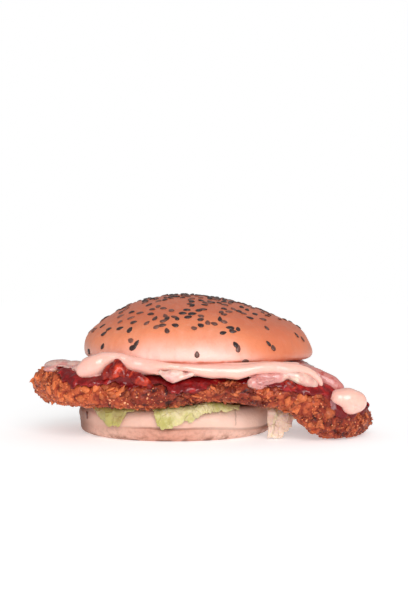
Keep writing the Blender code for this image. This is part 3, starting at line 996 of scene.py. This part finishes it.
class BURGER_OT_cheese(bpy.types.Operator):
    """Makes the two slices of melted cheese and the lobes that have run out of them"""

    bl_idname = "burger.cheese"
    bl_label = "Cheese"

    def execute(self, context):
        settings = context.scene.burger.cheese
        for side, drawn_in in (("left", 0.3), ("right", 1.0)):
            mesh = skinned(copied(f"cheese_{side}"), settings.skin, 5)
            for vertex in mesh.vertices:
                vertex.co.z += (0.35 - 1.6 * ease(-vertex.co.x / MM, 36, 44)) * MM
                vertex.co.y = max(vertex.co.y, -42 * MM + (vertex.co.y + 42 * MM) * drawn_in)
            pressed(settled(mesh), lambda place, normal: 0.25 * soft(place, 6) + 0.25)
            served(f"melted_slice_{side}", mesh, cheese_finish(settings), "melted_cheese", f"cheese_{side}")
        lobes = [
            blob(-51.5, -22.0, 32.2, 7.5, 8.0, 2.9),
            blob(-45.0, -25.0, 32.0, 6.0, 6.0, 2.7),
            blob(-55.0, -28.0, 31.0, 3.6, 4.0, 1.8),
            *bead((57.0, -36.0, 31.4, 2.8), (64.0, -36.0, 28.4, 3.4), (70.0, -37.0, 25.2, 3.6), (73.0, -37.6, 23.6, 2.6)),
            *bead((-44.0, -37.0, 31.6, 1.2), (-41.6, -39.0, 32.2, 1.9), (-38.6, -40.0, 33.2, 1.6)),
            *bead((-5.0, -53.6, 31.4, 1.2), (-1.8, -54.6, 29.0, 1.3), (0.4, -55.0, 27.8, 1.1), (3.4, -55.0, 29.2, 1.4)),
            *bead((3.4, -55.0, 29.2, 1.4), (8.4, -54.6, 30.8, 1.2)),
            blob(1.0, -54.0, 30.4, 5.2, 1.7, 2.4),
            blob(34.8, -52.0, 26.6, 2.9, 2.2, 2.6),
            blob(37.0, -51.2, 25.0, 2.6, 1.6, 1.7),
            blob(39.4, -50.4, 28.0, 5.2, 2.0, 3.4),
            blob(45.0, -49.6, 28.8, 4.4, 2.0, 2.6),
            *bead((49.6, -48.8, 30.0, 2.0), (53.8, -48.2, 29.0, 2.8), (58.2, -47.2, 27.2, 2.9), (61.4, -46.0, 25.6, 1.9)),
        ]
        mesh = run_together(lobes, settings.skin, 9)
        pressed(mesh, lambda place, normal: 0.2 * soft(place, 5))
        served("cheese_lobes", mesh, cheese_finish(settings), "melted_cheese")
        return {"FINISHED"}


# Mayonnaise


def mayonnaise_finish(settings):
    finish = Finish("mayonnaise_gloss")
    cast = finish.clouds(8, 2.0)
    base = finish.blend(finish.rise(cast, 0.3, 0.7) * 0.25, settings.cream, (0.93, 0.60, 0.46))
    normal = finish.bump(finish.clouds(4.0, 2.0), 0.25)
    return finish.shine(base, 0.24, normal, coat_weight=0.4, coat_roughness=0.12, subsurface_weight=0.5,
                        subsurface_radius=(1.0, 0.75, 0.55), subsurface_scale=2.0 * MM)


# The bead squeezed out in front, from its blob on the left: across, deep, height and radius.
BEAD = (
    (-38.8, -42.5, 31.6, 3.4), (-36.2, -42.5, 32.7, 4.6), (-33.1, -43.0, 34.0, 4.4), (-30.0, -43.5, 35.8, 3.6),
    (-27.4, -45.0, 37.0, 2.5), (-24.3, -46.0, 37.6, 1.7), (-22.0, -46.5, 36.9, 2.1), (-19.8, -46.0, 35.1, 3.2),
    (-16.2, -47.0, 34.3, 3.3), (-11.8, -47.5, 33.4, 3.5), (-8.8, -48.5, 33.3, 3.1), (-5.7, -50.5, 33.8, 2.0),
    (-2.7, -52.0, 33.9, 1.5), (2.1, -53.0, 33.5, 1.3), (6.8, -53.6, 33.2, 1.3), (9.8, -53.0, 32.4, 2.0),
    (13.2, -52.5, 32.0, 2.5), (17.0, -52.2, 31.7, 2.8), (22.6, -52.4, 31.7, 2.6), (27.7, -51.8, 31.3, 3.0),
    (31.2, -51.6, 31.9, 2.6), (34.2, -51.5, 32.5, 2.2), (38.6, -50.6, 33.1, 2.2), (44.3, -49.0, 33.2, 2.4),
    (49.6, -47.8, 32.2, 2.8), (54.0, -47.4, 32.4, 2.1), (58.0, -46.6, 31.6, 1.6), (60.7, -45.6, 30.1, 1.5),
    (63.3, -44.8, 27.7, 1.3), (64.5, -44.4, 25.7, 0.9),
)


class BURGER_OT_mayonnaise(bpy.types.Operator):
    """Makes the mayonnaise that is squeezed out under the crown, and the dollop on the folded end"""

    bl_idname = "burger.mayonnaise"
    bl_label = "Mayonnaise"

    def execute(self, context):
        settings = context.scene.burger.mayonnaise
        core = skinned(copied("mayonnaise_ribbon"), settings.skin, 4)
        for vertex in core.vertices:
            x, y, z = vertex.co / MM
            back = 3.0 + 5.0 * math.exp(-(((x + 27) / 9) ** 2)) + 6.0 * ease(x, 42, 54)
            vertex.co.y += back * MM * ease(-y, 30, 46)
            vertex.co.z -= 3.5 * MM * ease(x, 44, 56) * ease(z, 30, 34)
        behind = bead((-12.0, -45.5, 34.2, 1.6), (0.0, -49.6, 33.5, 1.6), (14.0, -50.6, 33.2, 1.7),
                      (30.0, -49.6, 33.5, 1.7), (40.0, -47.8, 33.9, 1.7), (54.0, -42.0, 33.4, 1.5))
        mesh = run_together(bead(*BEAD) + behind, settings.skin, 8, core)
        pressed(mesh, lambda place, normal: 0.35 + 0.2 * soft(place, 5) * (1 - abs(normal.z)))
        served("mayonnaise_bead", mesh, mayonnaise_finish(settings), "mayonnaise", "mayonnaise_ribbon")
        drop = [
            blob(76.2, -40.0, 18.8, 6.8, 5.6, 5.0),
            blob(79.6, -39.0, 17.4, 5.8, 5.4, 5.2),
            blob(72.8, -41.2, 19.4, 4.6, 4.6, 3.9),
            blob(78.0, -41.0, 15.6, 4.8, 4.2, 3.7),
        ]
        mesh = run_together(drop, settings.skin, 14)
        served("mayonnaise_drop", mesh, mayonnaise_finish(settings), "mayonnaise", "mayonnaise_dollop")
        return {"FINISHED"}


# Lettuce

HEEL_RADIUS = 45.2 * MM
HEEL_RIM = 14.2 * MM


def over_rim(out, rim):
    """Where a leaf that has run `out` past the place where it turns down is: how far out, and how high."""
    roll = 3.2 * MM
    if out < -roll:
        return out, rim
    turn = min((out + roll) / roll, math.pi / 2)
    hang = max(out + roll - roll * math.pi / 2, 0.0)
    return -roll + roll * math.sin(turn), rim - roll * (1 - math.cos(turn)) - hang


def between(knots, at):
    """The value at a place among given knots of (place, value)."""
    if at <= knots[0][0]:
        return knots[0][1]
    for (low, first), (high, last) in zip(knots, knots[1:]):
        if at <= high:
            return first + (last - first) * (at - low) / (high - low)
    return knots[-1][1]


class Leaf:
    """A leaf's route: it runs from behind base along a heading, turns down past the heel's rim and hangs.
    edge gives, for places across it in millimetres, how far below the rim it is torn off, and lifts how
    far it stands up at the rim. A leaf that goes straight turns down that far from its base instead."""

    def __init__(self, base, heading, half_width, root, edge, lifts=((0, 0),), straight=0.0, rib=0.0):
        self.base = Vector(base) * MM
        self.ahead = Vector((math.cos(math.radians(heading)), math.sin(math.radians(heading))))
        self.aside = Vector((-self.ahead.y, self.ahead.x))
        self.half_width = half_width * MM
        self.root = root * MM
        self.edge = edge
        self.lifts = lifts
        self.straight = straight * MM
        self.rib = rib
        self.long = self.root + (self.straight or HEEL_RADIUS) + (max(far for _, far in edge) + 6) * MM

    def spot(self, run, side):
        """The place on the leaf at a run from its root and a distance to its side."""
        start = self.base + self.aside * side
        inward = start.dot(self.ahead)
        reach = math.sqrt(max(inward**2 - start.length_squared + (HEEL_RADIUS + 1 * MM) ** 2, 0.0))
        to_rim = self.straight or reach - inward
        past = run - self.root - to_rim
        out, height = over_rim(past, HEEL_RIM + 0.7 * MM)
        flat = start + self.ahead * (to_rim + out)
        lift = between(self.lifts, side / MM) * MM * math.exp(-((past / (3.5 * MM)) ** 2))
        return Vector((flat.x, flat.y, height + lift)), past


def leaf_finish(settings, name, low, high):
    finish = Finish(name)
    vein = finish.attribute("vein")
    drift = finish.clouds(8, 3.0)
    fine = finish.clouds(1.4, 4.0, 0.6)
    net = finish.rise(finish.cells(4.5, "DISTANCE_TO_EDGE", finish.stretched(1.0, 1.0, 0.7)), 0.09, 0.0)
    base = finish.blend(finish.rise(drift, 0.38, 0.6), low, high)
    base = finish.blend(finish.rise(vein + net * 0.5 + (fine - 0.5) * 0.5, 0.35, 0.9) * 0.6, base, settings.rib)
    base = finish.blend(finish.rise(fine, 0.3, 0.7) * 0.3, base, low)
    normal = finish.bump(fine + net * 0.5, 0.4, finish.bump(vein, 0.5))
    return finish.shine(base, 0.38, normal, coat_weight=0.15, coat_roughness=0.2, subsurface_weight=0.3,
                        subsurface_radius=(0.8, 1.0, 0.3), subsurface_scale=1.2 * MM)


class BURGER_OT_lettuce(bpy.types.Operator):
    """Makes the three lettuce leaves, ruffled, ribbed and torn along their edges"""

    bl_idname = "burger.lettuce"
    bl_label = "Lettuce"

    def execute(self, context):
        settings = context.scene.burger.lettuce
        olive = leaf_finish(settings, "olive_leaf", settings.olive, settings.lime)
        green = leaf_finish(settings, "green_leaf", settings.lime, settings.rib)
        ivory = leaf_finish(settings, "ivory_leaf", settings.ivory, settings.cream)
        left = Leaf(
            (-24.5, 0.0), -90, 13.5, 34,
            ((-12.0, 0.5), (-11.0, 2.6), (-9.0, 6.0), (-5.6, 7.8), (-4.1, 8.9), (1.2, 8.8), (2.6, 5.0),
             (4.4, 3.0), (8.9, 0.6), (12.0, 0.0)),
            ((4.0, 0.3), (10.0, 1.0)),
            rib=-9.0,
        )
        middle = Leaf(
            (10.5, 0.0), -90, 20.5, 41,
            ((-19.0, 2.4), (-17.6, 7.0), (-15.6, 9.2), (-12.5, 8.6), (-8.6, 8.4), (-6.4, 6.8), (-5.6, 5.4),
             (-3.2, 6.8), (-1.6, 5.8), (0.6, 4.9), (2.4, 3.2), (5.0, 2.5), (14.0, 2.4), (17.0, 1.4)),
            ((-17.0, 0.2), (-4.0, 1.4), (5.0, 3.4), (10.0, 3.0), (14.0, 1.8), (20.0, 0.6)),
        )
        right = Leaf(
            (42.7, -17.7), -72, 12.0, 12,
            ((-6.3, -20.0), (-5.8, 14.4), (1.5, 14.4), (2.4, 12.3), (4.7, 12.0), (5.0, 10.5), (6.4, 9.6),
             (6.6, 8.0), (7.8, 6.5), (12.0, 5.0)),
            straight=14.0,
        )
        self.lay("leaf_left", left, settings, olive, "green_lettuce", "lettuce_left", 3.0)
        self.lay("leaf_middle", middle, settings, green, "green_lettuce", "lettuce_middle", 7.0)
        self.lay("leaf_right", right, settings, ivory, "pale_lettuce", "lettuce_right", 11.0)
        return {"FINISHED"}

    def lay(self, name, leaf, settings, finish, slot, node, seed):
        """Makes one leaf along its route."""
        bm = bmesh.new()
        rows = int(leaf.long / settings.mesh)
        columns = int(2 * leaf.half_width / settings.mesh)
        bmesh.ops.create_grid(bm, x_segments=rows, y_segments=columns, size=1.0)
        veins = bm.verts.layers.float.new("vein")
        torn = []
        outward = Vector((leaf.ahead.x, leaf.ahead.y, 0))
        for vertex in bm.verts:
            run = (vertex.co.x + 1) / 2 * leaf.long
            side = vertex.co.y * leaf.half_width
            spot, past = leaf.spot(run, side)
            place = Vector((side / MM, past / MM, seed * 10))
            ragged = 0.9 * soft(place, 2.4) + 0.6 * soft(place, 0.9)
            if (HEEL_RIM + 0.7 * MM - spot.z) / MM > between(leaf.edge, side / MM) + ragged:
                torn.append(vertex)
            elif abs(side) > leaf.half_width - (1.2 + ragged) * MM or past > 20 * MM:
                torn.append(vertex)
            elif spot.y > -8 * MM and spot.xy.length > HEEL_RADIUS - (5 + 2 * ragged) * MM:
                torn.append(vertex)
            rib = abs(side / MM - leaf.rib + 0.35 * past / MM + 1.5 * soft(place, 9))
            vertex[veins] = max(1 - rib / 1.1, 0.0)
            down = ease(past / MM, -3, 3)
            free = ease(past / MM, -8, 2)
            wave = soft(place, 5.5) + 0.5 * soft(place, 2.4)
            bulge = settings.ruffle * free * (wave * 1.5 + 0.5)
            vertex.co = spot + outward * bulge * down + Vector((0, 0, 0.5 * max(bulge, 0) * (1 - down)))
        bmesh.ops.delete(bm, geom=torn, context="VERTS")
        loose = [vertex for vertex in bm.verts if not vertex.link_faces]
        bmesh.ops.delete(bm, geom=loose, context="VERTS")
        bmesh.ops.smooth_vert(bm, verts=bm.verts, factor=0.5, use_axis_x=True, use_axis_y=True, use_axis_z=True)
        bmesh.ops.recalc_face_normals(bm, faces=bm.faces)
        for vertex in bm.verts:
            vertex.co.z = max(vertex.co.z, 0.3 * MM)
        mesh = bpy.data.meshes.new(name)
        bm.to_mesh(mesh)
        bm.free()
        piece = served(name, mesh, finish, slot, node)
        wall = piece.modifiers.new("thickness", "SOLIDIFY")
        wall.thickness = settings.thickness
        wall.offset = 0.0


# Stage


class BURGER_OT_stage(bpy.types.Operator):
    """Makes the pale floor, the soft light and the camera"""

    bl_idname = "burger.stage"
    bl_label = "Stage"

    def execute(self, context):
        settings = context.scene.burger.stage
        scene = context.scene
        bm = bmesh.new()
        bmesh.ops.create_circle(bm, cap_ends=True, segments=128, radius=settings.radius)
        mesh = bpy.data.meshes.new("floor")
        bm.to_mesh(mesh)
        bm.free()
        finish = Finish("pale_floor")
        mesh.materials.append(finish.shine(settings.floor, 0.7, emission_color=(1, 1, 1, 1), emission_strength=0.42))
        floor = bpy.data.objects.new("floor", mesh)
        scene.collection.objects.link(floor)

        self.lamp("key", "SUN", (0.12, -1.0, 0.5), settings.key, angle=math.radians(40))
        self.lamp("front", "AREA", (0.2, -0.75, 0.06), settings.front, size=0.35)

        world = bpy.data.worlds.new("studio")
        world.use_nodes = True
        tree = world.node_tree
        tree.nodes.clear()
        seen = tree.nodes.new("ShaderNodeLightPath")
        glow = tree.nodes.new("ShaderNodeBackground")
        white = tree.nodes.new("ShaderNodeBackground")
        either = tree.nodes.new("ShaderNodeMixShader")
        output = tree.nodes.new("ShaderNodeOutputWorld")
        glow.inputs["Strength"].default_value = settings.fill
        glow.inputs["Color"].default_value = (1, 1, 1, 1)
        white.inputs["Color"].default_value = (1, 1, 1, 1)
        tree.links.new(seen.outputs["Is Camera Ray"], either.inputs[0])
        tree.links.new(glow.outputs[0], either.inputs[1])
        tree.links.new(white.outputs[0], either.inputs[2])
        tree.links.new(either.outputs[0], output.inputs[0])
        scene.world = world
        scene.view_settings.view_transform = "Standard"

        lens = bpy.data.cameras.new("camera")
        lens.lens = settings.focal_length
        lens.sensor_fit = "VERTICAL"
        lens.sensor_height = 36
        lens.clip_start = 0.01
        camera = bpy.data.objects.new("camera", lens)
        camera.location = (13.6 * MM, -600 * MM, 72 * MM)
        camera.rotation_euler = (math.radians(90 - 1.27), 0, 0)
        scene.collection.objects.link(camera)
        scene.camera = camera
        return {"FINISHED"}

    def lamp(self, name, kind, place, strength, **sizes):
        """Adds a soft lamp that looks at the burger."""
        light = bpy.data.lights.new(name, kind)
        light.energy = strength
        for size, value in sizes.items():
            setattr(light, size, value)
        lamp = bpy.data.objects.new(name, light)
        lamp.location = place
        towards = Vector((0.012, 0, 0.03)) - Vector(place)
        lamp.rotation_euler = towards.to_track_quat("-Z", "Y").to_euler()
        bpy.context.scene.collection.objects.link(lamp)


# Add-on


class BURGER_PT_panel(bpy.types.Panel):
    """The burger's operators, in the order they run in"""

    bl_idname = "BURGER_PT_panel"
    bl_label = "Chicken burger"
    bl_space_type = "VIEW_3D"
    bl_region_type = "UI"
    bl_category = "Burger"

    def draw(self, context):
        for operator in OPERATORS:
            self.layout.operator(operator.bl_idname)


OPERATORS = (
    BURGER_OT_crown,
    BURGER_OT_heel,
    BURGER_OT_seeds,
    BURGER_OT_fillet,
    BURGER_OT_sauce,
    BURGER_OT_flakes,
    BURGER_OT_cheese,
    BURGER_OT_mayonnaise,
    BURGER_OT_lettuce,
    BURGER_OT_stage,
)
CLASSES = (
    CrownSettings,
    SeedSettings,
    HeelSettings,
    FilletSettings,
    FlakeSettings,
    SauceSettings,
    CheeseSettings,
    MayonnaiseSettings,
    LettuceSettings,
    StageSettings,
    BurgerSettings,
    *OPERATORS,
    BURGER_PT_panel,
)


def register():
    for kind in CLASSES:
        bpy.utils.register_class(kind)
    bpy.types.Scene.burger = PointerProperty(type=BurgerSettings)


def unregister():
    del bpy.types.Scene.burger
    for kind in reversed(CLASSES):
        bpy.utils.unregister_class(kind)


def main():
    register()
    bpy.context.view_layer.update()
    bpy.ops.burger.crown()
    bpy.ops.burger.heel()
    bpy.ops.burger.seeds()
    bpy.ops.burger.fillet()
    bpy.ops.burger.sauce()
    bpy.ops.burger.flakes()
    bpy.ops.burger.cheese()
    bpy.ops.burger.mayonnaise()
    bpy.ops.burger.lettuce()
    bpy.ops.burger.stage()


if __name__ == "__main__":
    main()
